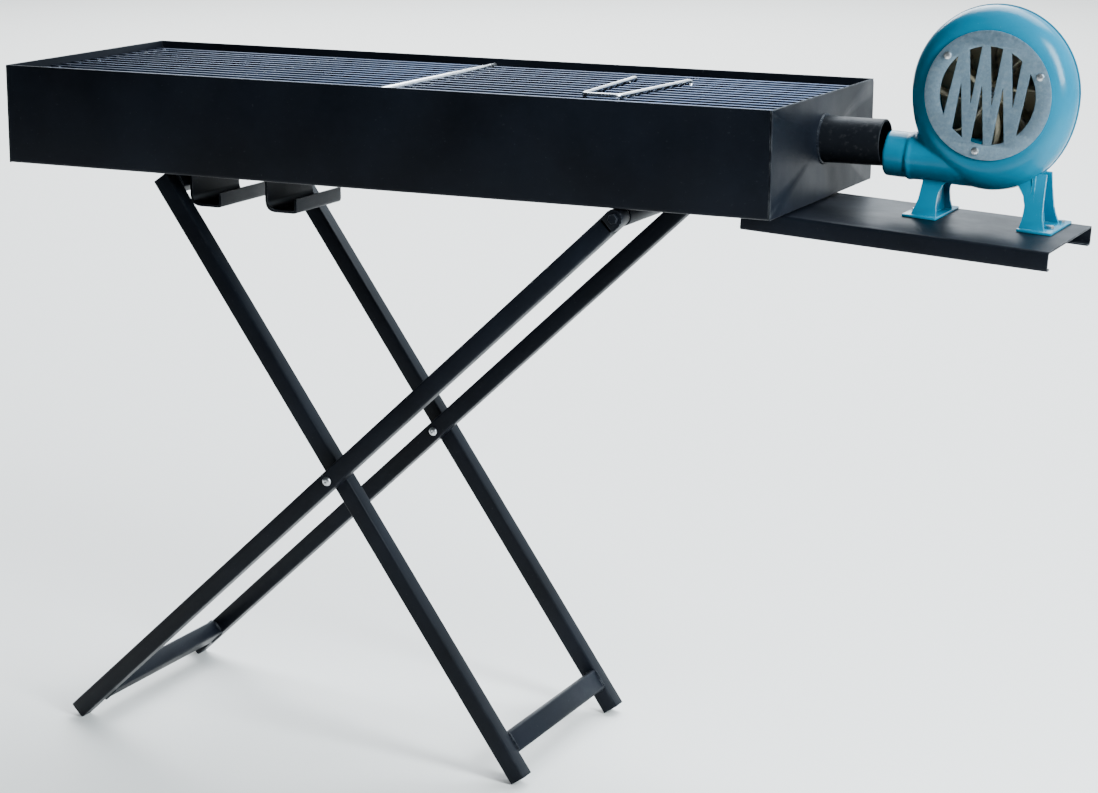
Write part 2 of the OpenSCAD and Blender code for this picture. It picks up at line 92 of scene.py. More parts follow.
TUBE = 20
TUBE_WALL = 1.5
STAND_Y = -156
LEG_ROW = 255
LEG_GAP = 2
LEFT_ROW = TUBE + LEG_GAP
HINGE = Vector((286, 0, 643))
RIGHT_SLOPE = math.radians(43)
LEFT_SLOPE = math.radians(55.3)
HINGE_TO_BOLT = 464
PIVOT = HINGE - HINGE_TO_BOLT * Vector((math.cos(RIGHT_SLOPE), 0, math.sin(RIGHT_SLOPE)))
RIGHT_DOWN = (PIVOT.z - TUBE / 2 * math.cos(RIGHT_SLOPE)) / math.sin(RIGHT_SLOPE)
LEFT_DOWN = (PIVOT.z - TUBE / 2 * math.cos(LEFT_SLOPE)) / math.sin(LEFT_SLOPE)
LEFT_UP = (TROUGH_BOTTOM - 3 - TUBE / 2 * math.cos(LEFT_SLOPE) - PIVOT.z) / math.sin(LEFT_SLOPE)
FOOT_BAR_UP = 26
FOOT_BAR_H = 25
BOLT_R = 3
BOLT_PAST_LEGS = 8.6
HEAD_R = 5.2
HEAD_H = 3.4
NUT_R = 5.7
NUT_Y = (2.3, 7.2)
WASHER_R = (3.1, 9)
WASHER_Y = (0.2, 1.8)
HINGE_BAR_R = 11
HINGE_WELDS = (-125, -20, 70)
HINGE_WELD_LEN = 26

HOOKS = {"left_hook": -252, "right_hook": -155}
HOOK_Y = (-106, -6)
HOOK_W = 40
HOOK_DROP = 42.5
HOOK_LIP = 16.5
HOOK_T = 3
HOOK_BEND = 13

FAN_OUT = 171
FAN_UP = 133
SECTION_R = 27
SECTION_Y = 2
RING_R = 58.3
SEAM_Y = 8
INLET_R = 49.5
GUARD_R = 65
NECK_U = (64.7, 165)
NECK_R = 23.5
NECK_BORE = 21
NECK_Y = 3
NECK_W = 59.3
RIDGE_U = 90
CAN_Y = (29, 99)
CAN_R = 45
CAN_GROOVES = 9
CASTING_WALL = 3
GUARD_SCREWS = (25, 141, 263)
COVER_SCREWS = (30, 75, 120, 165, 345)
CAP_SCREWS = (45, 135, 225, 315)
DISC_Y = 19
DISC_R = 62
SHAFT_HOLE_R = 4.2
BLADES = 8
FEET = {"left_blower_foot": (113, -1, 40), "right_blower_foot": (229, 1, 58)}

MM = Matrix.Scale(0.001, 4)
ROW = MM @ Matrix.Translation((-MID_X, 0, 0))
SHELF_CORNER = Vector((TROUGH_LEN / 2, 0, TROUGH_BOTTOM - SHELF_DROP))
SHELF = ROW @ Matrix.Translation(SHELF_CORNER) @ Matrix.Rotation(DROOP, 4, "Y")
FAN = SHELF @ Matrix.Translation((FAN_OUT, 0, FAN_UP))
AT_HINGE = ROW @ Matrix.Translation(HINGE)
RIGHT_FRAME = ROW @ Matrix.Translation(PIVOT) @ Matrix.Rotation(-RIGHT_SLOPE, 4, "Y")
LEFT_FRAME = ROW @ Matrix.Translation(PIVOT) @ Matrix.Rotation(LEFT_SLOPE - math.pi, 4, "Y")

CAMERA_AT = Vector((1352.6, -2625.1, 1083.4))
CAMERA_LENS = 87.38
CAMERA_TURN = 24.74
CAMERA_DIP = 13.12
CAMERA_ROLL = 0.30

# ---------- Camera, light and floor ----------


def make_camera():
    """A long lens to the right and a little above, as the photograph was taken."""
    data = bpy.data.cameras.new("camera")
    data.sensor_width = 36
    data.lens = CAMERA_LENS
    data.clip_end = 100
    cam = bpy.data.objects.new("camera", data)
    bpy.context.scene.collection.objects.link(cam)
    turn = Matrix.Rotation(math.radians(CAMERA_TURN), 4, "Z")
    pitch = Matrix.Rotation(math.radians(90 - CAMERA_DIP), 4, "X")
    roll = Matrix.Rotation(math.radians(CAMERA_ROLL), 4, "Z")
    cam.matrix_world = Matrix.Translation(ROW @ CAMERA_AT) @ turn @ pitch @ roll
    bpy.context.scene.camera = cam


def softbox(name, where, target, size, power, colour):
    """A rectangular area light that faces a target, all in metres and watts."""
    data = bpy.data.lights.new(name, "AREA")
    data.shape = "RECTANGLE"
    data.size, data.size_y = size
    data.energy = power
    data.color = colour
    lamp = bpy.data.objects.new(name, data)
    bpy.context.scene.collection.objects.link(lamp)
    lamp.location = where
    lamp.rotation_euler = (Vector(target) - Vector(where)).to_track_quat("-Z", "Y").to_euler()


def smooth_fade(tree, factor, start, end, low, high):
    """A smooth step of a factor, from low at start to high at end."""
    fade = tree.nodes.new("ShaderNodeMapRange")
    fade.interpolation_type = "SMOOTHSTEP"
    for key, value in (("From Min", start), ("From Max", end), ("To Min", low), ("To Max", high)):
        fade.inputs[key].default_value = value
    tree.links.new(factor, fade.inputs["Value"])
    return fade.outputs["Result"]


def make_light():
    """Bright behind and to the right, dim in front, so paint facing the camera stays near black."""
    world = bpy.data.worlds.new("studio")
    bpy.context.scene.world = world
    world.use_nodes = True
    nodes, links = world.node_tree.nodes, world.node_tree.links
    way = nodes.new("ShaderNodeTexCoord")
    towards = nodes.new("ShaderNodeVectorMath")
    towards.operation = "DOT_PRODUCT"
    towards.inputs[1].default_value = Vector((0.25, 0.93, 0.2)).normalized()
    links.new(way.outputs["Generated"], towards.inputs[0])
    strength = smooth_fade(world.node_tree, towards.outputs["Value"], 0.2, 0.95, 0.06, 1.7)
    back = nodes["Background"]
    back.inputs["Color"].default_value = (0.74, 0.87, 1, 1)
    links.new(strength, back.inputs["Strength"])
    softbox("key", (2.15, -0.85, 1.62), (0.45, 0, 0.72), (0.7, 1.4), 150, (0.82, 0.93, 1))
    softbox("top", (0.3, 2.6, 4.6), (0, 1.2, 0), (5, 3), 560, (0.84, 0.92, 1))
    softbox("far", (-3.5, 7.5, 5), (-2.5, 6.5, 0), (6, 5), 1000, (0.9, 0.96, 1))


def make_floor():
    """A plain pale matte floor, with painted shade that darkens it in front of the object so less light bounces
    onto the object's front and underside.
    """
    bm = bmesh.new()
    bmesh.ops.create_grid(bm, x_segments=2, y_segments=2, size=12)
    mesh = bpy.data.meshes.new("floor")
    bm.to_mesh(mesh)
    bm.free()
    floor = bpy.data.objects.new("floor", mesh)
    bpy.context.scene.collection.objects.link(floor)
    mat = bpy.data.materials.new("floor")
    mat.use_nodes = True
    nodes, links = mat.node_tree.nodes, mat.node_tree.links
    shader = nodes["Principled BSDF"]
    where = nodes.new("ShaderNodeSeparateXYZ")
    links.new(nodes.new("ShaderNodeTexCoord").outputs["Object"], where.inputs["Vector"])
    # Painted shade: the floor's colour fades darker towards the front, which cuts the light bounced onto the
    # object's front and underside.
    painted_front_shade = smooth_fade(mat.node_tree, where.outputs["Y"], -3, -0.9, 0.55, 0.93)
    tint = nodes.new("ShaderNodeMix")
    tint.data_type = "RGBA"
    tint.inputs[6].default_value = (0, 0, 0, 1)
    tint.inputs[7].default_value = (0.96, 0.93, 0.88, 1)
    links.new(painted_front_shade, tint.inputs["Factor"])
    links.new(tint.outputs[2], shader.inputs["Base Color"])
    shader.inputs["Roughness"].default_value = 0.9
    shader.inputs["Specular IOR Level"].default_value = 0.1
    mesh.materials.append(mat)


# ---------- Materials ----------


class Look:
    """A principled material whose colour, roughness and bump come from noise in the object's own space."""

    def __init__(self, name, metallic=0.0, specular=0.5, coat=0.0):
        self.mat = bpy.data.materials.new(name)
        self.mat.use_nodes = True
        self.tree = self.mat.node_tree
        self.shader = self.tree.nodes["Principled BSDF"]
        self.space = self.add("ShaderNodeTexCoord").outputs["Object"]
        self.set("Metallic", metallic)
        self.set("Specular IOR Level", specular)
        self.set("Coat Weight", coat)
        self.set("Coat Roughness", 0.1)

    def add(self, kind, **inputs):
        made = self.tree.nodes.new(kind)
        for key, value in inputs.items():
            made.inputs[key.replace("_", " ")].default_value = value
        return made

    def set(self, key, value):
        self.shader.inputs[key].default_value = value

    def link(self, a, b):
        self.tree.links.new(a, b)

    def noise(self, scale, detail=4.0, rough=0.55, stretch=None):
        made = self.add("ShaderNodeTexNoise", Scale=scale, Detail=detail, Roughness=rough)
        space = self.space
        if stretch:
            mapping = self.add("ShaderNodeMapping")
            mapping.inputs["Scale"].default_value = stretch
            self.link(space, mapping.inputs["Vector"])
            space = mapping.outputs["Vector"]
        self.link(space, made.inputs["Vector"])
        return made.outputs["Fac"]

    def cells(self, scale):
        made = self.add("ShaderNodeTexVoronoi", Scale=scale)
        self.link(self.space, made.inputs["Vector"])
        return made.outputs["Color"]

    def ramp(self, factor, low, high, to_low=0.0, to_high=1.0):
        made = self.add("ShaderNodeMapRange", From_Min=low, From_Max=high, To_Min=to_low, To_Max=to_high)
        self.link(factor, made.inputs["Value"])
        return made.outputs["Result"]

    def mix(self, factor, a, b):
        made = self.tree.nodes.new("ShaderNodeMix")
        made.data_type = "RGBA"
        self.link(factor, made.inputs["Factor"])
        for socket, value in ((made.inputs[6], a), (made.inputs[7], b)):
            if isinstance(value, tuple):
                socket.default_value = (*value, 1)
            else:
                self.link(value, socket)
        return made.outputs[2]

    def worn_edges(self, reach=0.0012, low=0.03, high=0.2):
        """1 on rounded and sharp edges, broken up by noise."""
        rounded = self.add("ShaderNodeBevel", Radius=reach)
        rounded.samples = 4
        facing = self.tree.nodes.new("ShaderNodeVectorMath")
        facing.operation = "DOT_PRODUCT"
        self.link(rounded.outputs["Normal"], facing.inputs[0])
        self.link(self.add("ShaderNodeNewGeometry").outputs["True Normal"], facing.inputs[1])
        edge = self.ramp(facing.outputs["Value"], 1 - low, 1 - high)
        patchy = self.ramp(self.noise(90, 5), 0.42, 0.6)
        both = self.tree.nodes.new("ShaderNodeMath")
        both.operation = "MULTIPLY"
        self.link(edge, both.inputs[0])
        self.link(patchy, both.inputs[1])
        return both.outputs[0]

    def colour(self, value):
        self.link(value, self.shader.inputs["Base Color"])

    def roughness(self, factor, low, high, to_low, to_high):
        self.link(self.ramp(factor, low, high, to_low, to_high), self.shader.inputs["Roughness"])

    def bump(self, *layers):
        """Each layer is (height, distance in metres, strength)."""
        normal = None
        for height, distance, strength in layers:
            made = self.add("ShaderNodeBump", Distance=distance, Strength=strength)
            self.link(height, made.inputs["Height"])
            if normal:
                self.link(normal, made.inputs["Normal"])
            normal = made.outputs["Normal"]
        self.link(normal, self.shader.inputs["Normal"])


def black_paint():
    """Satin black enamel over sheet steel, with a fine skin, faint dents and rubbed edges."""
    look = Look("black_paint", specular=0.09)
    cloud = look.noise(7, 5)
    paint = look.mix(look.ramp(cloud, 0.35, 0.7), (0.003, 0.0038, 0.0058), (0.006, 0.0078, 0.012))
    dusty = look.mix(look.ramp(look.noise(320, 3), 0.66, 0.8, 0, 0.35), paint, (0.05, 0.055, 0.06))
    look.colour(look.mix(look.worn_edges(), dusty, (0.09, 0.095, 0.1)))
    look.roughness(look.noise(16, 6), 0.3, 0.75, 0.36, 0.52)
    look.bump((look.noise(5, 2), 0.002, 0.25), (look.noise(900, 2), 0.0002, 0.25))
    return look.mat


def pipe_paint():
    """Thin heat-proof black over mill scale, with scuffs."""
    look = Look("pipe_paint", specular=0.06)
    scuff = look.noise(180, 6)
    look.colour(look.mix(look.ramp(scuff, 0.55, 0.75), (0.006, 0.007, 0.009), (0.022, 0.022, 0.024)))
    look.roughness(look.noise(45, 5), 0.3, 0.7, 0.38, 0.62)
    look.bump((look.noise(260, 4), 0.0004, 0.35))
    return look.mat


def grate_steel():
    """Dark drawn steel rod, blued by heat, with drawing lines along it."""
    look = Look("grate_steel", metallic=1.0)
    look.set("Specular Tint", (0.7, 0.72, 0.78, 1))
    heat = look.noise(12, 4)
    base = look.mix(look.ramp(heat, 0.35, 0.7), (0.022, 0.031, 0.052), (0.036, 0.05, 0.082))
    look.colour(look.mix(look.ramp(look.noise(60, 3), 0.6, 0.8), base, (0.045, 0.052, 0.064)))
    look.roughness(look.noise(40, 3, stretch=(0.1, 1, 1)), 0.3, 0.7, 0.24, 0.32)
    look.bump((look.noise(600, 2, stretch=(0.02, 1, 1)), 0.0001, 0.05))
    return look.mat


def bright_steel():
    """Bare bright steel with faint drawing marks."""
    look = Look("bright_steel", metallic=1.0)
    look.colour(look.mix(look.ramp(look.noise(60, 4), 0.4, 0.7), (0.82, 0.83, 0.84), (0.62, 0.63, 0.65)))
    look.roughness(look.noise(140, 4), 0.3, 0.7, 0.16, 0.34)
    look.bump((look.noise(700, 3), 0.0001, 0.2))
    return look.mat


def zinc():
    """Zinc-plated fasteners."""
    look = Look("zinc", metallic=1.0)
    look.colour(look.mix(look.ramp(look.noise(240, 4), 0.35, 0.7), (0.7, 0.71, 0.72), (0.5, 0.5, 0.49)))
    look.roughness(look.noise(300, 3), 0.3, 0.7, 0.24, 0.42)
    look.bump((look.noise(1500, 2), 0.0001, 0.15))
    return look.mat


def teal_paint():
    """Glossy teal enamel over a casting: soft orange peel, a little dust and chipped edges."""
    look = Look("teal_paint", specular=0.3)
    look.set("IOR", 1.4)
    shade = look.mix(look.ramp(look.noise(9, 3), 0.35, 0.7), (0.0, 0.13, 0.215), (0.0, 0.165, 0.27))
    speck = look.mix(look.ramp(look.noise(700, 2), 0.7, 0.8, 0, 0.3), shade, (0.2, 0.5, 0.56))
    look.colour(look.mix(look.worn_edges(), speck, (0.12, 0.42, 0.5)))
    look.roughness(look.noise(30, 5), 0.3, 0.7, 0.17, 0.27)
    look.bump((look.noise(70, 3), 0.0012, 0.12), (look.noise(420, 2), 0.0003, 0.12))
    return look.mat


def galvanised():
    """Hot-dip galvanised sheet: crystals of differing grey-blue under a dull bloom."""
    look = Look("galvanised", metallic=0.75, specular=0.5)
    crystal = look.tree.nodes.new("ShaderNodeSeparateColor")
    look.link(look.cells(520), crystal.inputs["Color"])
    tone = look.mix(look.ramp(crystal.outputs["Red"], 0, 1), (0.165, 0.24, 0.3), (0.205, 0.29, 0.355))
    look.colour(look.mix(look.ramp(look.noise(190, 5), 0.5, 0.75), tone, (0.26, 0.34, 0.4)))
    look.roughness(crystal.outputs["Green"], 0, 1, 0.36, 0.56)
    look.bump((look.noise(1100, 3), 0.0001, 0.25))
    return look.mat


def fan_plastic():
    """Cream moulded plastic with patches of dust."""
    look = Look("fan_plastic", specular=0.4)
    look.colour(look.mix(look.ramp(look.noise(130, 5), 0.5, 0.75), (0.5, 0.44, 0.31), (0.14, 0.12, 0.085)))
    look.roughness(look.noise(90, 4), 0.3, 0.7, 0.4, 0.6)
    look.bump((look.noise(600, 3), 0.0002, 0.2))
    return look.mat


def rotor_steel():
    """Stacked rotor sheets."""
    look = Look("rotor_steel", metallic=0.9)
    look.colour(look.mix(look.ramp(look.noise(120, 3), 0.4, 0.7), (0.42, 0.43, 0.45), (0.3, 0.3, 0.32)))
    look.roughness(look.noise(200, 3), 0.3, 0.7, 0.3, 0.5)
    look.bump((look.noise(1500, 2, stretch=(0.1, 2, 0.1)), 0.0002, 0.4))
    return look.mat


def copper():
    """Varnished copper windings."""
    look = Look("copper", metallic=0.9, coat=0.4)
    look.colour(look.mix(look.ramp(look.noise(300, 3), 0.4, 0.7), (0.55, 0.24, 0.12), (0.35, 0.13, 0.06)))
    look.roughness(look.noise(200, 3), 0.3, 0.7, 0.25, 0.45)
    look.bump((look.noise(1200, 2, stretch=(1, 0.1, 1)), 0.0003, 0.6))
    return look.mat


def black_plastic():
    """Matte black moulded plastic."""
    look = Look("black_plastic", specular=0.4)
    look.colour(look.mix(look.ramp(look.noise(200, 4), 0.5, 0.8), (0.012, 0.012, 0.013), (0.03, 0.03, 0.032)))
    look.roughness(look.noise(150, 4), 0.3, 0.7, 0.5, 0.7)
    look.bump((look.noise(1200, 3), 0.0001, 0.3))
    return look.mat


MATERIALS = {
    "black_paint": black_paint(),
    "pipe_paint": pipe_paint(),
    "grate_steel": grate_steel(),
    "bright_steel": bright_steel(),
    "zinc": zinc(),
    "teal_paint": teal_paint(),
    "galvanised": galvanised(),
    "fan_plastic": fan_plastic(),
    "rotor_steel": rotor_steel(),
    "copper": copper(),
    "black_plastic": black_plastic(),
}


def dress_cad_nodes():
    """Every CAD node gets the material of its slot."""
    slots = {part["node"]: part["material_slot"] for part in frame["record"]["subparts"]}
    for name, obj in frame["nodes"].items():
        obj.data.materials.clear()
        obj.data.materials.append(MATERIALS["pipe_paint" if name.endswith("_pipe") else slots[name]])


# ---------- Mesh building, all in millimetres ----------


def loft(bm, rings, cap=True, closed=False):
    """Skins rings of the same number of points. closed joins the last ring to the first."""
    made = [[bm.verts.new(p) for p in ring] for ring in rings]
    count = len(made[0])
    pairs = list(zip(made, made[1:]))
    if closed:
        pairs.append((made[-1], made[0]))
    for a, b in pairs:
        for i in range(count):
            j = (i + 1) % count
            bm.faces.new((a[i], a[j], b[j], b[i]))
    if cap and not closed:
        bm.faces.new(reversed(made[0]))
        bm.faces.new(made[-1])


def circle(radius, sides):
    """Points of a circle round the origin."""
    angles = [2 * math.pi * i / sides for i in range(sides)]
    return [(radius * math.cos(a), radius * math.sin(a)) for a in angles]


def frames_along(path):
    """(point, normal, binormal) at each point of a path, turning as little as it can."""
    path = [Vector(p) for p in path]
    ahead = [(b - a).normalized() for a, b in zip(path, path[1:])]
    tangents = [ahead[0]] + [(a + b).normalized() for a, b in zip(ahead, ahead[1:])] + [ahead[-1]]
    side = tangents[0].orthogonal().normalized()
    made = []
    for point, tangent in zip(path, tangents):
        side = (side - tangent * side.dot(tangent)).normalized()
        made.append((point, side, tangent.cross(side)))
    return made


def wire(bm, path, radius, sides=14):
    """A round tube along a path. radius is a number or one number per point."""
    radii = radius if isinstance(radius, list) else [radius] * len(path)
    shape = circle(1, sides)
    rings = [[p + (a * u + b * v) * r for u, v in shape] for (p, a, b), r in zip(frames_along(path), radii)]
    loft(bm, rings)


def rod(bm, start, end, radius, sides=14, soft=0.6):
    """A straight round rod with softly rounded ends."""
    start, end = Vector(start), Vector(end)
    way = (end - start).normalized()
    insets = [0, soft * 0.3, soft]
    path = [start + way * d for d in insets] + [end - way * d for d in reversed(insets)]
    radii = [radius - soft, radius - soft * 0.3, radius]
    wire(bm, path, radii + radii[::-1], sides)


def bead(bm, path, radius, sides=8):
    """A rippled weld bead along a path."""
    points, radii = [], []
    for a, b in zip(path, path[1:]):
        a, b = Vector(a), Vector(b)
        steps = max(2, int((b - a).length / (radius * 0.45)))
        points += [a.lerp(b, i / steps) for i in range(steps)]
    points.append(Vector(path[-1]))
    for i, p in enumerate(points):
        ripple = 1 + 0.13 * math.sin(i * 2.1) + 0.22 * noise.noise(p * 0.35)
        taper = min(1, 0.45 + 0.3 * min(i, len(points) - 1 - i))
        radii.append(radius * ripple * taper)
    wire(bm, points, radii, sides)


def block(bm, low, high, bevel):
    """A box with its edges rounded."""
    low, high = Vector(low), Vector(high)
    made = bmesh.ops.create_cube(bm, size=1)["verts"]
    for v in made:
        v.co = Vector([low[k] if v.co[k] < 0 else high[k] for k in range(3)])
    edges = list({e for v in made for e in v.link_edges})
    if bevel:
        bmesh.ops.bevel(bm, geom=edges, offset=bevel, segments=2, affect="EDGES", profile=0.5)


def prism(bm, outline, depth, place=lambda a, b, h: (a, b, h), bevel=0.0):
    """A flat outline given depth from depth[0] to depth[1]. place turns (a, b, height) into a point."""
    lower = [bm.verts.new(place(a, b, depth[0])) for a, b in outline]
    upper = [bm.verts.new(place(a, b, depth[1])) for a, b in outline]
    faces = [bm.faces.new(lower), bm.faces.new(list(reversed(upper)))]
    for i in range(len(outline)):
        j = (i + 1) % len(outline)
        faces.append(bm.faces.new((lower[j], lower[i], upper[i], upper[j])))
    if bevel:
        edges = [e for f in faces[:2] for e in f.edges]
        bmesh.ops.bevel(bm, geom=edges, offset=bevel, segments=2, affect="EDGES", profile=0.5)


def lathe(bm, profile, sides=64, place=lambda r, a, h: (r * math.cos(a), h, r * math.sin(a)), closed=False):
    """Turns a profile of (radius, height) points. An end at radius 0 closes on the axis."""
    rings = []
    for r, h in profile:
        steps = range(sides) if r > 1e-6 else range(1)
        rings.append([bm.verts.new(place(r, 2 * math.pi * i / sides, h)) for i in steps])
    pairs = list(zip(rings, rings[1:]))
    if closed:
        pairs.append((rings[-1], rings[0]))
    for a, b in pairs:
        for i in range(sides):
            j = (i + 1) % sides
            corners = [a[i % len(a)], a[j % len(a)], b[j % len(b)], b[i % len(b)]]
            unique = list(dict.fromkeys(corners))
            if len(unique) > 2:
                bm.faces.new(unique)


def arc(centre, radius, start, end, steps):
    """Points of an arc, angles in degrees."""
    angles = [math.radians(start + (end - start) * i / steps) for i in range(steps + 1)]
    return [(centre[0] + radius * math.cos(a), centre[1] + radius * math.sin(a)) for a in angles]


def rounded_path(corners, radius, steps=6):
    """A polyline with its inner corners rounded, in two or three dimensions."""
    corners = [Vector(c) for c in corners]
    made = [corners[0]]
    for a, b, c in zip(corners, corners[1:], corners[2:]):
        back, on = (a - b).normalized(), (c - b).normalized()
        half = back.angle(on) / 2
        reach = min(radius / math.tan(half), (a - b).length * 0.49, (c - b).length * 0.49)
        start, end = b + back * reach, b + on * reach
        for i in range(steps + 1):
            t = i / steps
            made.append(start.lerp(b, t).lerp(b.lerp(end, t), t))
    made.append(corners[-1])
    return made


def strip(path, thickness):
    """The outline of a sheet of a given thickness whose one side follows a flat path, to the path's left."""
    path = [Vector(p) for p in path]
    ahead = [(b - a).normalized() for a, b in zip(path, path[1:])]
    other = []
    for i, p in enumerate(path):
        a = ahead[max(i - 1, 0)]
        b = ahead[min(i, len(ahead) - 1)]
        way = (a + b).normalized()
        grow = 1 / max(0.35, way.dot(b))
        other.append(p + Vector((-way.y, way.x)) * thickness * grow)
    return [tuple(p) for p in path] + [tuple(p) for p in reversed(other)]


def piece(name, bm, place, body, slot, replaces=(), material=None, angle=35):
    """Turns a mesh in millimetres into a piece in the row frame that rides on a CAD body."""
    bmesh.ops.recalc_face_normals(bm, faces=bm.faces)
    bm.transform(place)
    mesh = bpy.data.meshes.new(name)
    bm.to_mesh(mesh)
    bm.free()
    obj = bpy.data.objects.new(name, mesh)
    bpy.context.scene.collection.objects.link(obj)
    mesh.materials.append(MATERIALS[material or slot])
    mesh.shade_smooth()
    mesh.set_sharp_from_angle(angle=math.radians(angle))
    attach(obj, body)
    if replaces:
        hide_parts(*replaces)
    return obj


# ---------- Trough ----------


def trough_pan():
    """Bottom, front and back wall folded from one sheet, with round bends and a soft rim."""
    half = TROUGH_WID / 2
    corners = [(-half, RIM_Z), (-half, TROUGH_BOTTOM), (half, TROUGH_BOTTOM), (half, RIM_Z)]
    outline = strip(rounded_path(corners, 3.5), SHEET)
    bm = bmesh.new()
    ends = (-TROUGH_LEN / 2 + SHEET, TROUGH_LEN / 2 - SHEET)
    prism(bm, outline, ends, lambda y, z, x: (x, y, z))

    def along_rim(edge):
        a, b = (v.co for v in edge.verts)
        return min(a.z, b.z) > RIM_Z - 0.01 and abs(a.x - b.x) > 1

    rim = [e for e in bm.edges if along_rim(e)]
    bmesh.ops.bevel(bm, geom=rim, offset=0.6, segments=2, affect="EDGES", profile=0.5)
    return piece("folded_pan", bm, ROW, "firebox", "black_paint", ["trough_pan"])


def end_plate(name, x0, node, hole):
    """A flat end plate with softened edges, and a round hole for the pipe where it has one."""
    half = TROUGH_WID / 2
    bm = bmesh.new()
    if not hole:
        block(bm, (x0, -half, TROUGH_BOTTOM), (x0 + SHEET, half, RIM_Z), 0.7)
        return piece(name, bm, ROW, "firebox", "black_paint", [node])
    edge = 0.7
    low, high = TROUGH_BOTTOM - PIPE_Z, RIM_Z - PIPE_Z
    corner_angles = [math.atan2(z, y) % (2 * math.pi) for y in (-half, half) for z in (low, high)]
    angles = sorted({2 * math.pi * i / 72 for i in range(72)} | set(corner_angles))

    def on_rectangle(a, inset):
        c, s = math.cos(a), math.sin(a)
        reach = [(half - inset) / abs(c)] if abs(c) > 1e-9 else []
        reach += [((high - inset) if s > 0 else (-low - inset)) / abs(s)] if abs(s) > 1e-9 else []
        return min(reach) * c, min(reach) * s

    layers = [
        [(x0 + edge, *on_rectangle(a, 0)) for a in angles],
        [(x0 + SHEET - edge, *on_rectangle(a, 0)) for a in angles],
        [(x0 + SHEET, *on_rectangle(a, edge)) for a in angles],
        [(x0 + SHEET, PIPE_R * math.cos(a), PIPE_R * math.sin(a)) for a in angles],
        [(x0, PIPE_R * math.cos(a), PIPE_R * math.sin(a)) for a in angles],
        [(x0, *on_rectangle(a, edge)) for a in angles],
    ]
    loft(bm, [[(x, y, z + PIPE_Z) for x, y, z in ring] for ring in layers], closed=True)
    return piece(name, bm, ROW, "firebox", "black_paint", [node])


def trough_welds():
    """Beads in the box's inner corners, round the pipe, and where hooks and hinge bar meet the bottom."""
    bm = bmesh.new()
    inside = TROUGH_WID / 2 - SHEET
    for side in (-1, 1):
        x = side * (TROUGH_LEN / 2 - SHEET)
        for y in (-inside, inside):
            bead(bm, [(x, y, TROUGH_BOTTOM + 4), (x, y, RIM_Z - 6)], 1.4)
        bead(bm, [(x, -inside, TROUGH_BOTTOM + SHEET), (x, inside, TROUGH_BOTTOM + SHEET)], 1.4)
    ring = [(TROUGH_LEN / 2, *p) for p in arc((0, PIPE_Z), PIPE_R + 0.6, 0, 360, 48)]
    bead(bm, ring, 1.9)
    for x in HOOKS.values():
        bead(bm, [(x, HOOK_Y[0] + 4, TROUGH_BOTTOM), (x, HOOK_Y[0] + 34, TROUGH_BOTTOM)], 1.7)
        bead(bm, [(x, HOOK_Y[1] - 34, TROUGH_BOTTOM), (x, HOOK_Y[1] - 4, TROUGH_BOTTOM)], 1.7)
    z = TROUGH_BOTTOM - 1.6
    for y in HINGE_WELDS:
        for side in (-1, 1):
            x = HINGE.x + side * HINGE_BAR_R / 2
            bead(bm, [(x, y, z), (x, y + HINGE_WELD_LEN, z)], 2)
    return piece("trough_welds", bm, ROW, "firebox", "black_paint")


def hook(name, x):
    """A strap bent to a J with a round bend and a square lip."""
    top = TROUGH_BOTTOM
    low = top - HOOK_DROP
    corners = [(x, top), (x, low), (x + HOOK_W, low), (x + HOOK_W, low + HOOK_LIP)]
    path = rounded_path(corners[:3], HOOK_BEND)[:-1] + rounded_path(corners[1:], 4)[1:]
    bm = bmesh.new()
    prism(bm, strip(path, HOOK_T), HOOK_Y, lambda a, b, y: (a, y, b), bevel=0.4)
    return piece(name + "_strap", bm, ROW, "firebox", "black_paint", [name])


def air_pipe():
    """The pipe through the right end: outside, softened lip and inside."""
    x0, x1 = PIPE_X
    inner = PIPE_R - PIPE_WALL
    outside = [(PIPE_R, x0), (PIPE_R, x1 - 0.6), (PIPE_R - 0.5, x1)]
    inside = [(inner + 0.4, x1), (inner, x1 - 0.6), (inner, x0)]

    def place(r, a, x):
        return (x, r * math.cos(a), PIPE_Z + r * math.sin(a))

    bm = bmesh.new()
    lathe(bm, outside + inside, 96, place, closed=True)
    return piece("air_pipe_tube", bm, ROW, "firebox", "black_paint", ["air_pipe"], "pipe_paint")


# ---------- Grates ----------


def grate(name, x0):
    """Rods with rounded ends on three flat bars, with bright tack welds at every crossing."""
    bm, tacks = bmesh.new(), bmesh.new()
    ys = [(i - (ROD_COUNT - 1) / 2) * ROD_PITCH for i in range(ROD_COUNT)]
    for i, y in enumerate(ys):
        sway = 0.35 * math.sin(i * 2.7)
        rod(bm, (x0, y + sway, ROD_Z), (x0 + GRATE_LEN, y - sway, ROD_Z), ROD_R, 14, 1.2)
    low, high = CROSS_BAR_Z
    half = CROSS_BAR_W / 2
    for along in CROSS_BARS:
        x = x0 + along
        block(bm, (x - half, -GRATE_REACH, low), (x + half, GRATE_REACH, high), 0.7)
        for y in ys:
            for side in (-1, 1):
                under, tack = y + side * (ROD_R - 0.4), y + side * TACK_OFF
                bead(bm, [(x - 3.6, under, high + 0.1), (x + 3.6, under, high + 0.1)], 1.2, 6)
                bead(tacks, [(x - TACK_HALF, tack, TACK_Z), (x + TACK_HALF, tack, TACK_Z)], TACK_R, 6)
    piece(name + "_rods", bm, ROW, name, "grate_steel", [name])
    piece(name + "_tacks", tacks, ROW, name, "bright_steel")


def centre_bar():
    """A bright bar across the seam, with a half-round top and softened ends."""
    half = CENTRE_BAR_W / 2
    low, high = CENTRE_BAR_Z
    outline = [(-half, low), (half, low)] + arc((0, high - half), half, 0, 180, 10)
    bm = bmesh.new()
    prism(bm, outline, (-GRATE_REACH, GRATE_REACH), lambda a, b, y: (a, y, b), bevel=0.4)
    return piece("centre_bar_bright", bm, ROW, "firebox", "bright_steel", ["centre_bar"])


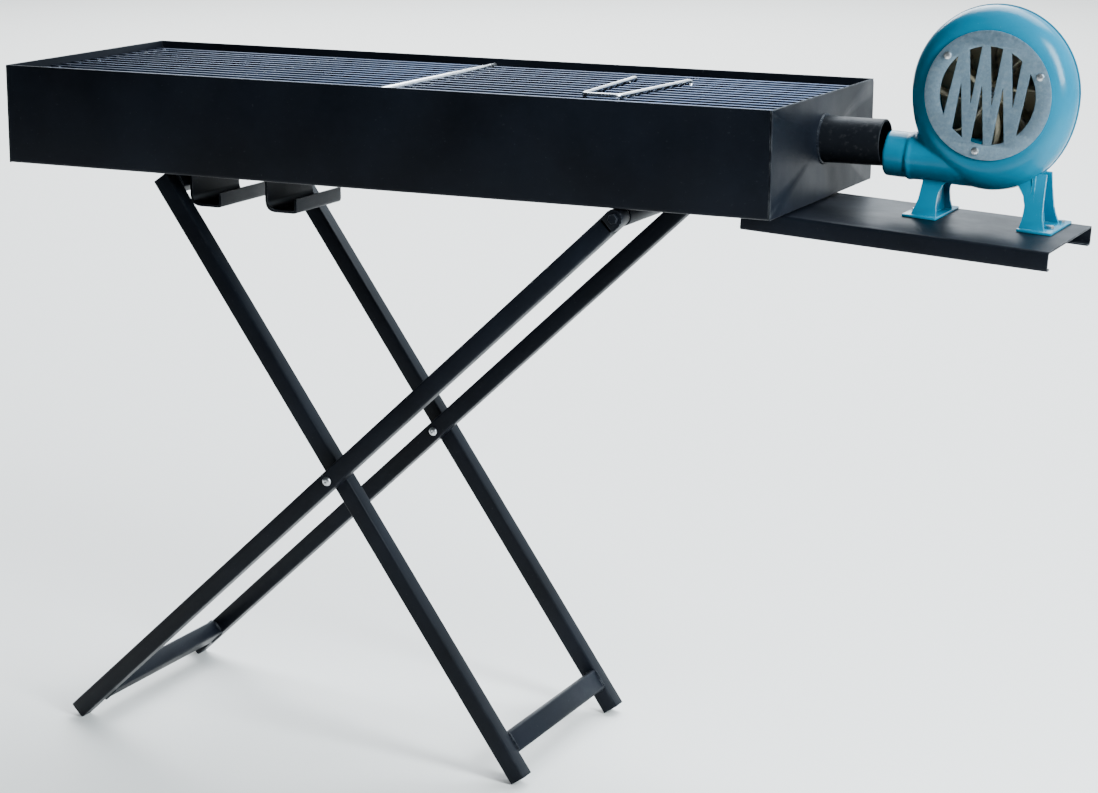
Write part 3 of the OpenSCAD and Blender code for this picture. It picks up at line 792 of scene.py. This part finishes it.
def grate_handle():
    """One bent wire: an eye round the rod, a leg, the grip, a leg and the other eye."""
    top = ROD_Z + EYE_R

    def eye(x, outwards):
        points = []
        for i in range(25):
            t = i / 24
            a = math.radians(-215 + 305 * t)
            y, z = EYE_Y + EYE_R * math.cos(a), ROD_Z + EYE_R * math.sin(a)
            points.append((x + outwards * EYE_COIL * (1 - t), y, z))
        return points

    corners = [(EYES[0], EYE_Y - 2), (GRIP[0], GRIP_Y), (GRIP[1], GRIP_Y), (EYES[1], EYE_Y - 2)]
    bail = rounded_path([(x, y, top) for x, y in corners], 9, 8)
    path = eye(EYES[0], -1) + [tuple(p) for p in bail] + list(reversed(eye(EYES[1], 1)))
    bm = bmesh.new()
    wire(bm, path, WIRE_R, 16)
    return piece("handle_wire", bm, ROW, "grate_handle", "bright_steel", ["grate_handle"])


# ---------- Stand ----------


def tube_outline(half, radius):
    """A square with rounded corners, seen along the tube."""
    made = []
    for k, (a, b) in enumerate(((1, 1), (-1, 1), (-1, -1), (1, -1))):
        made += arc((a * (half - radius), b * (half - radius)), radius, 90 * k, 90 * k + 90, 4)
    return made


def square_tube(bm, start, end, y_mid, height=TUBE, depth=TUBE, along="x"):
    """A hollow rounded square tube along x, or along y between the legs."""
    outer = tube_outline(0.5, 2.2 / TUBE)
    inner = [(a * (1 - 2 * TUBE_WALL / height), b * (1 - 2 * TUBE_WALL / depth)) for a, b in outer]

    def ring(shape, at, shrink=0.0):
        points = []
        for a, b in shape:
            a, b = a * (height - shrink), b * (depth - shrink)
            points.append((at, y_mid + a, b) if along == "x" else (y_mid + a, at, b))
        return points

    soft = 0.4
    rings = [
        ring(outer, start + soft),
        ring(outer, end - soft),
        ring(outer, end, soft),
        ring(inner, end),
        ring(inner, start),
        ring(outer, start, soft),
    ]
    loft(bm, rings, closed=True)


def eared_leg(bm, y0):
    """The hinged leg: a tube whose upper end is a rounded, closed ear."""
    square_tube(bm, -RIGHT_DOWN, HINGE_TO_BOLT - TUBE / 2, y0 + TUBE / 2)
    r = TUBE / 2
    into_tube = HINGE_TO_BOLT - r - 4
    outline = [(into_tube, -r)] + arc((HINGE_TO_BOLT, 0), r, -90, 90, 18) + [(into_tube, r)]
    prism(bm, outline, (y0, y0 + TUBE), lambda a, b, y: (a, y, b), bevel=1.4)


def leg(name, y0, body, place):
    """One leg, from its foot to its ear or to its cut end."""
    bm = bmesh.new()
    if body == "right_frame":
        eared_leg(bm, y0)
    else:
        square_tube(bm, -LEFT_DOWN, LEFT_UP, y0 + TUBE / 2)
    return piece(name + "_tube", bm, place, body, "black_paint", [name])


def cross_tube(name, x0, height, y_front, body, place):
    """A tube between two legs with its welds."""
    y0, y1 = y_front + TUBE, y_front + LEG_ROW
    bm = bmesh.new()
    square_tube(bm, y0, y1, x0 + height / 2, height, TUBE, "y")
    r = TUBE / 2
    for y in (y0, y1):
        for z in (-r, r):
            bead(bm, [(x0 + 2, y, z), (x0 + height - 2, y, z)], 1.6)
        bead(bm, [(x0, y, -r + 3), (x0, y, r - 3)], 1.6)
        bead(bm, [(x0 + height, y, -r + 3), (x0 + height, y, r - 3)], 1.6)
    return piece(name + "_tube", bm, place, body, "black_paint", [name])


def hex_points(radius, y):
    """Corners of a hexagon across the Y axis, turned a little as a tightened nut is."""
    angles = [0.2 + math.pi / 3 * i for i in range(6)]
    return [(radius * math.cos(a), y, radius * math.sin(a)) for a in angles]


def hex_head(bm, y0, y1, radius):
    """A hexagon with its outer corners turned off. y1 is the outer face."""
    chamfer = 0.8 if y1 > y0 else -0.8
    steps = [(radius, y0), (radius, y1 - chamfer), (radius * 0.9, y1), (radius * 0.2, y1 + chamfer * 0.1)]
    loft(bm, [hex_points(r, y) for r, y in steps])


def domed_head(bm, y0, y1, radius):
    """A domed head with a round socket. y1 is the outer face."""
    rise = y1 - y0
    dome = [(radius * math.cos(t), y0 + rise * (0.25 + 0.75 * math.sin(t))) for t in (0, 0.3, 0.6, 0.85, 1.1)]
    socket = [(radius * 0.36, y1), (radius * 0.33, y1 - rise * 0.5), (0, y1 - rise * 0.55)]
    lathe(bm, [(radius * 0.98, y0)] + dome + socket, 36)


def absorb(bm, other):
    """Moves another mesh's geometry into this one."""
    mesh = bpy.data.meshes.new("part")
    other.to_mesh(mesh)
    other.free()
    bm.from_mesh(mesh)
    bpy.data.meshes.remove(mesh)


def pan_screw(bm, place, radius, rise):
    """A small pan head with a fine cross on it, at a point with its axis along -Y."""
    head = bmesh.new()
    profile = [(1, 0), (1, -0.3), (0.86, -0.75), (0.5, -1), (0, -1)]
    lathe(head, [(radius * r, rise * h) for r, h in profile], 28)
    length, width = radius * 0.55, radius * 0.09
    for turn in (0, math.pi / 2):
        cross = bmesh.new()
        block(cross, (-length, -rise - 0.02, -width), (length, -rise * 0.8, width), 0)
        cross.transform(Matrix.Rotation(turn + 0.4, 4, "Y"))
        absorb(head, cross)
    head.transform(place)
    absorb(bm, head)


def screw_ring(bm, degrees, ring, y, radius, rise, facing_back):
    """Pan-head screws on a ring round the blower's axis, at angles in degrees."""
    turn = Matrix.Rotation(math.pi if facing_back else 0, 4, "Z")
    for a in (math.radians(d) for d in degrees):
        at = Matrix.Translation((ring * math.cos(a), y, ring * math.sin(a)))
        pan_screw(bm, at @ turn, radius, rise)


def scissor_fasteners():
    """Bolts with domed heads through both frames, their washers and nuts."""
    bolts, washers, nuts = bmesh.new(), bmesh.new(), bmesh.new()
    for row in (0, LEG_ROW):
        y = STAND_Y + row
        between, behind = y + TUBE, y + 2 * TUBE
        domed_head(bolts, y, y - HEAD_H, HEAD_R)
        rod(bolts, (0, y - 0.5, 0), (0, behind + BOLT_PAST_LEGS, 0), BOLT_R, 28)
        r0, r1 = WASHER_R
        w0, w1 = (between + w for w in WASHER_Y)
        lathe(washers, [(r0, w0), (r1, w0), (r1, w1), (r0, w1)], 40, closed=True)
        hex_head(nuts, behind + NUT_Y[0], behind + NUT_Y[1], NUT_R)
    piece("scissor_bolt_heads", bolts, RIGHT_FRAME, "right_frame", "zinc", ["scissor_bolts"])
    piece("scissor_washer_rings", washers, RIGHT_FRAME, "right_frame", "zinc", ["scissor_washers"])
    piece("scissor_nut_hexes", nuts, RIGHT_FRAME, "right_frame", "zinc", ["scissor_nuts"])


def hinge_fasteners():
    """The hinge bar and its bolts."""
    bar, bolts = bmesh.new(), bmesh.new()
    y0, y1 = STAND_Y + TUBE + LEG_GAP, STAND_Y + LEG_ROW - LEG_GAP
    rod(bar, (0, y0, 0), (0, y1, 0), HINGE_BAR_R, 48, 0.8)
    ends = ((STAND_Y, -1), (STAND_Y + LEG_ROW + TUBE, 1))
    for y, way in ends:
        rod(bolts, (0, y + way * 0.5, 0), (0, y - way * (TUBE + 20), 0), BOLT_R, 28)
        hex_head(bolts, y + way * 0.2, y + way * 3.4, NUT_R)
    piece("hinge_rod", bar, AT_HINGE, "firebox", "black_paint", ["hinge_bar"])
    piece("hinge_bolt_heads", bolts, AT_HINGE, "firebox", "black_paint", ["hinge_bolts"])


# ---------- Shelf ----------


def blower_shelf():
    """A folded channel with round bends and lips turned in."""
    y0, y1 = SHELF_Y
    corners = [(y0 + 10, -20), (y0, -20), (y0, 0), (y1, 0), (y1, -20), (y1 - 10, -20)]
    path = rounded_path(corners, 3, 5)
    outline = strip(list(reversed(path)), SHEET)
    bm = bmesh.new()
    prism(bm, outline, (-SHELF_UNDER, SHELF_OUT), lambda y, w, u: (u, y, w), bevel=0.35)
    return piece("shelf_channel", bm, SHELF, "firebox", "black_paint", ["blower_shelf"])


# ---------- Blower ----------


def ring_at(a):
    """Radius of the ring through the middles of the housing's round sections."""
    s = math.sin(a)
    return RING_R + (3 if s > 0 else 13.3) * s * s


def section(a, reach, turn):
    """A point of the round section at an angle of the ring. turn 0 is the front, 180 the back."""
    r = ring_at(a) + reach * math.sin(turn)
    return (r * math.cos(a), SECTION_Y - reach * math.cos(turn), r * math.sin(a))


def shell(bm, outside, inside):
    """Skins closed loops of (reach, turn) or fixed (radius, y) points round the ring."""
    rings = []
    for i in range(120):
        a = 2 * math.pi * i / 120
        ring = []
        for kind, p, q in outside + inside:
            if kind == "section":
                ring.append(section(a, p, q))
            else:
                ring.append((p * math.cos(a), q, p * math.sin(a)))
        rings.append(ring)
    loft(bm, rings, closed=True)


def turns(reach, y0, y1, steps):
    """Section points from one depth to another."""
    a0 = math.acos(max(-1, min(1, (SECTION_Y - y0) / reach)))
    a1 = math.acos(max(-1, min(1, (SECTION_Y - y1) / reach)))
    return [("section", reach, a0 + (a1 - a0) * i / steps) for i in range(steps + 1)]


def neck(bm):
    """The outlet: rounded lip, groove, raised ring, and a flare that runs into the scroll."""
    u0, u1 = NECK_U
    r = NECK_R
    outer = [
        (NECK_BORE + 0.6, u0),
        (r - 1.2, u0 + 0.2),
        (r, u0 + 2),
        (r, RIDGE_U - 5),
        (r - 0.5, RIDGE_U - 2),
        (r + 1.3, RIDGE_U),
        (r + 1.5, RIDGE_U + 2),
        (r + 0.6, RIDGE_U + 5),
        (r + 0.4, RIDGE_U + 25),
        (r + 1.6, u1 - 20),
        (r + 1.6, u1),
    ]
    inner = [(NECK_BORE, u1), (NECK_BORE, u0 + 1)]

    def place(radius, a, u):
        rise = 1.2 * max(0, (u - RIDGE_U) / (u1 - RIDGE_U))
        return (u - FAN_OUT, NECK_Y + radius * math.cos(a), NECK_W - FAN_UP + rise + radius * math.sin(a))

    lathe(bm, outer + inner, 72, place, closed=True)


def melt(obj, voxel, rounds):
    """Joins a piece's overlapping shells into one skin and softens the creases between them."""
    remesh = obj.modifiers.new("join", "REMESH")
    remesh.mode = "VOXEL"
    remesh.voxel_size = voxel
    remesh.use_smooth_shade = True
    smooth = obj.modifiers.new("soften", "SMOOTH")
    smooth.factor = 0.5
    smooth.iterations = rounds
    bpy.context.view_layer.update()
    graph = bpy.context.evaluated_depsgraph_get()
    mesh = bpy.data.meshes.new_from_object(obj.evaluated_get(graph))
    obj.modifiers.clear()
    old = obj.data
    obj.data = mesh
    bpy.data.meshes.remove(old)
    mesh.shade_smooth()


def blower_scroll():
    """The front half of the housing with the outlet, cast in one."""
    bm = bmesh.new()
    front = SECTION_Y - SECTION_R
    behind = front + CASTING_WALL
    outside = [("fixed", INLET_R + 0.5, front)] + turns(SECTION_R, front, SEAM_Y, 16)
    inside = turns(SECTION_R - CASTING_WALL, SEAM_Y, behind, 14) + [("fixed", INLET_R, behind)]
    shell(bm, outside, inside)
    neck(bm)
    obj = piece("blower_scroll", bm, FAN, "firebox", "teal_paint", ["blower_housing"], angle=60)
    melt(obj, voxel=0.00135, rounds=5)
    return obj


def blower_back():
    """The back half: a thin rim at the seam, the round shell and the bearing boss."""
    bm = bmesh.new()
    rim = SECTION_R + 1.5
    outside = [
        ("section", rim - 0.3, math.pi / 2 + 0.2),
        ("section", rim, math.pi / 2 + 0.24),
        ("section", rim, math.pi / 2 + 0.34),
        ("section", rim - 0.5, math.pi / 2 + 0.37),
    ]
    back = SECTION_Y + SECTION_R
    before = back - CASTING_WALL
    outside += turns(SECTION_R, SEAM_Y + 3.4, back - 0.01, 14) + [("fixed", 6, back)]
    inside = [("fixed", 5.5, before)] + turns(SECTION_R - CASTING_WALL, before - 0.01, SEAM_Y, 12)
    shell(bm, outside, inside)
    boss = [(6, 28.5), (16, 28.5), (14, 31), (14, 36.5), (13.5, 37), (11.2, 37), (11, 30), (6, 30)]
    lathe(bm, boss, 48, closed=True)
    return piece("blower_back", bm, FAN, "firebox", "teal_paint", ["back_cover"], angle=40)


def inlet_arc(a0, a1, steps):
    """Points on the inlet's edge from one angle to another."""
    angles = [a0 + (a1 - a0) * i / steps for i in range(steps + 1)]
    return [(INLET_R * math.cos(a), INLET_R * math.sin(a)) for a in angles]


def wedge(x, up):
    """Outline of one slot of the guard: from its point to the opening's edge."""
    tip = Vector((x, -9 * up))
    sides = []
    for off in (-1, 1):
        way = Vector((off * 7.5, 63 * up)).normalized()
        b = tip.dot(way)
        sides.append(tip + way * (-b + math.sqrt(b * b - tip.length_squared + INLET_R**2)))
    a0, a1 = (math.atan2(p.y, p.x) for p in sides)
    return [(tip.x - 0.5, tip.y), *inlet_arc(a0, a1, 8), (tip.x + 0.5, tip.y)]


def side_opening(start, end):
    """Outline of the part of the opening beyond a chord, going round by the nearest side."""
    a0, a1 = (math.atan2(p[1], p[0]) for p in (start, end))
    if a1 - a0 > math.pi:
        a1 -= 2 * math.pi
    if a0 - a1 > math.pi:
        a1 += 2 * math.pi
    return inlet_arc(a0, a1, 20)


def inlet_guard():
    """The sheet guard with its zigzag slots, cut as a flat outline with softly rounded edges."""
    curve = bpy.data.curves.new("guard", "CURVE")
    curve.dimensions = "2D"
    curve.fill_mode = "BOTH"
    curve.extrude = 0.8
    curve.bevel_depth = 0.2
    curve.bevel_resolution = 1
    outlines = [circle(GUARD_R - 0.2, 120)]
    for i in range(3):
        outlines.append(wedge(-16.5 + 21.6 * i, 1))
        outlines.append(wedge(-28 + 21.6 * i, -1))
    outlines.append(side_opening((-33, 36.9), (-43, -24.5)))
    outlines.append(side_opening((32.6, -37.2), (41.3, 27.3)))
    for points in outlines:
        spline = curve.splines.new("POLY")
        spline.points.add(len(points) - 1)
        for target, (x, y) in zip(spline.points, points):
            target.co = (x, y, 0, 1)
        spline.use_cyclic_u = True
    holder = bpy.data.objects.new("guard_curve", curve)
    bpy.context.scene.collection.objects.link(holder)
    bpy.context.view_layer.update()
    mesh = bpy.data.meshes.new_from_object(holder.evaluated_get(bpy.context.evaluated_depsgraph_get()))
    bpy.data.objects.remove(holder)
    bm = bmesh.new()
    bm.from_mesh(mesh)
    bpy.data.meshes.remove(mesh)
    bmesh.ops.remove_doubles(bm, verts=bm.verts, dist=0.001)
    upright = Matrix.Translation((0, SECTION_Y - SECTION_R - 1, 0)) @ Matrix.Rotation(math.pi / 2, 4, "X")
    return piece("guard_sheet", bm, FAN @ upright, "firebox", "galvanised", ["inlet_guard"])


def small_screws():
    """Pan-head screws of the guard and the back cover."""
    guard, cover = bmesh.new(), bmesh.new()
    screw_ring(guard, GUARD_SCREWS, 57, -27, 4, 2.5, facing_back=False)
    screw_ring(cover, COVER_SCREWS, 62, 29, 3.5, 3, facing_back=True)
    piece("guard_screw_heads", guard, FAN, "firebox", "zinc", ["guard_screws"])
    piece("cover_screw_heads", cover, FAN, "firebox", "zinc", ["cover_screws"])


def impeller():
    """A moulded fan: back disc, hub, and thin blades that curve back and narrow to a ridge in front."""
    bm = bmesh.new()
    disc = [(SHAFT_HOLE_R, 0), (DISC_R - 0.5, 0), (DISC_R, 1), (DISC_R - 0.5, 2), (SHAFT_HOLE_R, 2)]
    hub = [(SHAFT_HOLE_R, 1), (13, 1), (12, -20), (10, -23.5), (SHAFT_HOLE_R, -24)]
    for profile, sides in ((disc, 64), (hub, 40)):
        lathe(bm, [(r, DISC_Y + h) for r, h in profile], sides, closed=True)
    for i in range(BLADES):
        base = math.radians(360 / BLADES * i + 17)
        rings = []
        for k in range(9):
            t = k / 8
            a = base - 0.28 * t * t
            side = Vector((-math.sin(a), 0, math.cos(a))) * (1.3 - 0.4 * t)
            mid = Vector((math.cos(a), 0, math.sin(a))) * (11 + 50 * t)
            front = DISC_Y - 34 + 5 * t
            around = ((1, DISC_Y + 0.5), (-1, DISC_Y + 0.5), (-1, front + 0.6), (0, front), (1, front + 0.6))
            rings.append([mid + side * way + Vector((0, y, 0)) for way, y in around])
        loft(bm, rings)
    return piece("fan_wheel", bm, FAN, "impeller", "fan_plastic", ["impeller"])


def motor():
    """The motor's can with softened ends and grooves round it, its end cap and screws."""
    y0, y1 = CAN_Y
    can, cap, screws = bmesh.new(), bmesh.new(), bmesh.new()
    profile = [(CAN_R - 2, y0), (CAN_R - 0.6, y0), (CAN_R, y0 + 0.8)]
    for k in range(CAN_GROOVES):
        y = y0 + 14 + k * 5
        profile += [(CAN_R, y), (CAN_R - 0.9, y + 0.7), (CAN_R - 0.9, y + 1.8), (CAN_R, y + 2.5)]
    profile += [(CAN_R, y1 - 0.2), (CAN_R - 2, y1 - 0.2)]
    lathe(can, profile, 80, closed=True)
    edge = [(0, y1 + 3), (14, y1 + 3), (16, y1 + 2.2), (30, y1 + 2.2), (32, y1 + 3), (CAN_R - 3, y1 + 3)]
    edge += [(CAN_R - 0.8, y1 + 2.2), (CAN_R, y1 + 0.4), (CAN_R - 0.4, y1), (0, y1)]
    lathe(cap, edge, 80)
    screw_ring(screws, CAP_SCREWS, 37, y1 + 2.6, 4, 2.7, facing_back=True)
    piece("motor_body", can, FAN, "firebox", "black_paint", ["motor_can"])
    piece("motor_cap", cap, FAN, "firebox", "black_paint", ["motor_end_cap"])
    piece("motor_cap_screws", screws, FAN, "firebox", "zinc", ["end_cap_screws"])


def blower_foot(name, u, side, tall):
    """A cast foot: base plate, two flared strips that lean together, and a web between them."""
    left = [(-15, 0), (-13, 10), (-12.5, 22), (-14, 30), (-18, 38), (-26, 46), (-34, 70)]
    right = [(4, 70), (5, 42), (6, 28), (7, 14), (12, 0)]

    def edge(points, w):
        """Where an outline is at a height."""
        for (x0, w0), (x1, w1) in zip(points, points[1:]):
            if min(w0, w1) <= w <= max(w0, w1):
                return x0 + (x1 - x0) * (w - w0) / (w1 - w0)
        return points[-1][0]

    bm = bmesh.new()
    low, high = (-16, 20) if side > 0 else (-20, 16)
    block(bm, (low, -24, 0), (high, 62, 3), 0.9)
    for y0, lean in ((-20, math.radians(18)), (38, math.radians(-20))):
        heights = [tall * k / 12 for k in range(13)]
        outline = [(edge(left, w), w) for w in heights] + [(edge(right, w), w) for w in reversed(heights)]
        outline = [(x * side, w) for x, w in outline]

        def tilt(x, w, y, y0=y0, c=math.cos(lean), s=math.sin(lean)):
            return (x, y0 + y * c + w * s, 2.5 + w * c - y * s)

        prism(bm, outline, (0, 3), tilt, bevel=0.6)
    web = []
    for k in range(9):
        t = k / 8
        x = side * (-4.5 - 3.5 * t)
        y0, y1, z = -17 + 14 * t, 39 - 22 * t, 3 + tall * t
        web.append([(x - 1.6, y0, z), (x + 1.6, y0, z), (x + 1.6, y1, z), (x - 1.6, y1, z)])
    loft(bm, web)
    place = SHELF @ Matrix.Translation((u, 0, 0))
    return piece(name + "_casting", bm, place, "firebox", "teal_paint", [name])


# ---------- Everything ----------


def make_everything():
    make_camera()
    make_light()
    make_floor()
    dress_cad_nodes()
    trough_pan()
    end_plate("left_end_sheet", -TROUGH_LEN / 2, "left_end_plate", False)
    end_plate("right_end_sheet", TROUGH_LEN / 2 - SHEET, "right_end_plate", True)
    trough_welds()
    for name, x in HOOKS.items():
        hook(name, x)
    air_pipe()
    grate("left_grate", -GRATE_SEAM / 2 - GRATE_LEN)
    grate("right_grate", GRATE_SEAM / 2)
    centre_bar()
    grate_handle()
    leg("right_front_leg", STAND_Y, "right_frame", RIGHT_FRAME)
    leg("right_back_leg", STAND_Y + LEG_ROW, "right_frame", RIGHT_FRAME)
    leg("left_front_leg", STAND_Y + LEFT_ROW, "left_frame", LEFT_FRAME)
    leg("left_back_leg", STAND_Y + LEFT_ROW + LEG_ROW, "left_frame", LEFT_FRAME)
    cross_tube("right_foot_bar", FOOT_BAR_UP - RIGHT_DOWN, FOOT_BAR_H, STAND_Y, "right_frame", RIGHT_FRAME)
    left_front = STAND_Y + LEFT_ROW
    cross_tube("left_foot_bar", FOOT_BAR_UP - LEFT_DOWN, FOOT_BAR_H, left_front, "left_frame", LEFT_FRAME)
    cross_tube("left_top_bar", LEFT_UP - TUBE, TUBE, left_front, "left_frame", LEFT_FRAME)
    scissor_fasteners()
    hinge_fasteners()
    blower_shelf()
    blower_scroll()
    blower_back()
    inlet_guard()
    small_screws()
    impeller()
    motor()
    for name, (u, side, tall) in FEET.items():
        blower_foot(name, u, side, tall)


make_everything()
